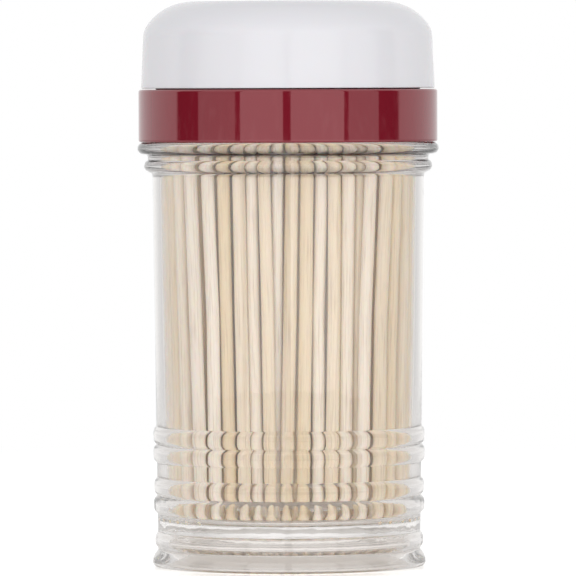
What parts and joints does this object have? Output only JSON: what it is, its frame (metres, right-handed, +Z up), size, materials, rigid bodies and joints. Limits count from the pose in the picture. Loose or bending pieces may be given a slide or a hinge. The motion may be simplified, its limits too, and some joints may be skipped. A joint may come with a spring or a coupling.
{
  "type": "toothpick dispenser",
  "caption": "Upright round toothpick dispenser: a clear ribbed jar of wooden toothpicks, a push-on collar and a domed dial cap that turns over holes of different widths.",
  "frame": {"origin": "middle of the circle the jar stands on", "axes": "+Z up the jar's axis to the cap; -Y towards the front of the picture; the cap's hole is at +Y, at the back, over the widest hole of the deck"},
  "size_m": [0.0468, 0.0468, 0.0876],
  "materials": {
    "jar_clear": "clear, glossy",
    "collar_red": "glossy dark crimson",
    "cap_white": "glossy, faintly cool white",
    "toothpick_wood": "pale, unfinished"
  },
  "bodies": {
    "jar": {"jar": "jar_clear", "toothpick_layer_1": "toothpick_wood", "toothpick_layer_2": "toothpick_wood", "toothpick_layer_3": "toothpick_wood", "toothpick_layer_4": "toothpick_wood", "toothpick_layer_5": "toothpick_wood", "toothpick_layer_6": "toothpick_wood", "toothpick_core": "toothpick_wood"},
    "collar": {"collar": "collar_red"},
    "dial_cap": {"dial_cap": "cap_white"}
  },
  "joints": [
    {"name": "lid_pull", "type": "slide", "parent": "jar", "child": "collar", "axis": [0, 0, 1], "range_m": [0, 0.04]},
    {"name": "dial_turn", "type": "hinge", "parent": "collar", "child": "dial_cap", "pos_m": [0, 0, 0.074], "axis": [0, 0, 1], "continuous": true}
  ]
}
